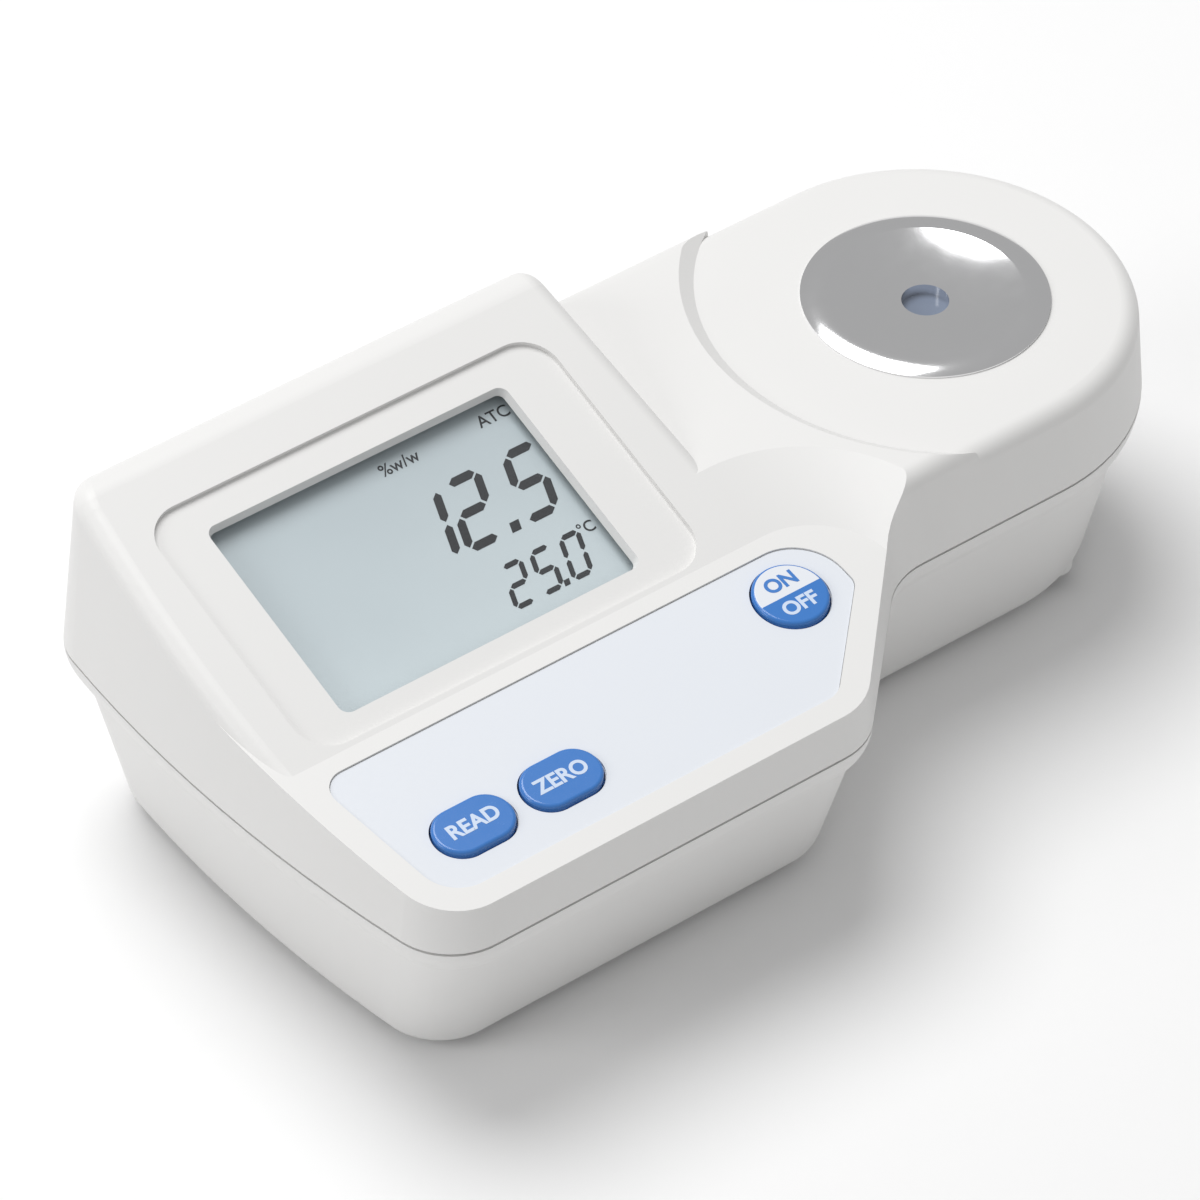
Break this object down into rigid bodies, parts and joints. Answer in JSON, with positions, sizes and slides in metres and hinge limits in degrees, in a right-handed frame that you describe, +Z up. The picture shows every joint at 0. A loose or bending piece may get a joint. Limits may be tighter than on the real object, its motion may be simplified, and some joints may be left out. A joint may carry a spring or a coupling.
{
  "type": "digital refractometer",
  "caption": "Bench-top digital refractometer with a round steel sample ring over a prism, a tilted display and a keypad.",
  "frame": {"origin": "centre of the bounding box on the surface the feet stand on", "axes": "+X along the length towards the sample ring, -Y the front with the keys, +Z up"},
  "size_m": [0.192, 0.102, 0.067],
  "materials": {
    "casing_grey": "fine matt",
    "seal_rubber": "matt",
    "window_clear": "clear polished",
    "lcd_face": "satin",
    "inner_plastic": "matt",
    "board_green": "lacquered",
    "keypad_gloss": "glossy",
    "key_blue": "glossy",
    "key_white": "glossy",
    "switch_black": "matt",
    "ring_steel": "polished",
    "prism_glass": "polished",
    "inner_black": "matt",
    "lens_glass": "polished",
    "lamp_clear": "clear",
    "sensor_black": "glossy",
    "probe_steel": "satin",
    "battery_case": "satin",
    "foot_rubber": "matt",
    "screw_steel": "satin"
  },
  "bodies": {
    "casing": {"upper_casing": "casing_grey", "lower_casing": "casing_grey", "casing_seal": "seal_rubber", "display_window": "window_clear", "lcd_glass": "lcd_face", "lcd_holder": "inner_plastic", "main_board": "board_green", "keypad_membrane": "keypad_gloss", "key_switches": "switch_black", "keypad_board": "board_green", "sample_ring": "ring_steel", "prism": "prism_glass", "prism_seal": "seal_rubber", "optical_block": "inner_black", "lens": "lens_glass", "lamp": "lamp_clear", "lamp_board": "board_green", "light_sensor": "sensor_black", "sensor_board": "board_green", "temperature_sensor": "probe_steel", "battery": "battery_case", "battery_snap": "inner_black", "feet": "foot_rubber", "casing_screws": "screw_steel", "board_screws": "screw_steel", "optic_screws": "screw_steel"},
    "read_key_body": {"read_key": "key_blue"},
    "zero_key_body": {"zero_key": "key_blue"},
    "on_off_key_body": {"on_off_key": "key_white"},
    "battery_cover_body": {"battery_cover": "casing_grey", "cover_seal": "seal_rubber"}
  },
  "joints": [
    {"name": "read_key_press", "type": "slide", "parent": "casing", "child": "read_key_body", "axis": [0, 0.1461, -0.9893], "range_m": [0, 0.0005], "stiffness_N_per_m": 600},
    {"name": "zero_key_press", "type": "slide", "parent": "casing", "child": "zero_key_body", "axis": [0, 0.1461, -0.9893], "range_m": [0, 0.0005], "stiffness_N_per_m": 600},
    {"name": "on_off_key_press", "type": "slide", "parent": "casing", "child": "on_off_key_body", "axis": [0, 0.1461, -0.9893], "range_m": [0, 0.0005], "stiffness_N_per_m": 600},
    {"name": "battery_cover_turn", "type": "hinge", "parent": "casing", "child": "battery_cover_body", "pos_m": [-0.047, 0.006, 0.0017], "axis": [0, 0, 1], "range_deg": [-30, 0]}
  ]
}
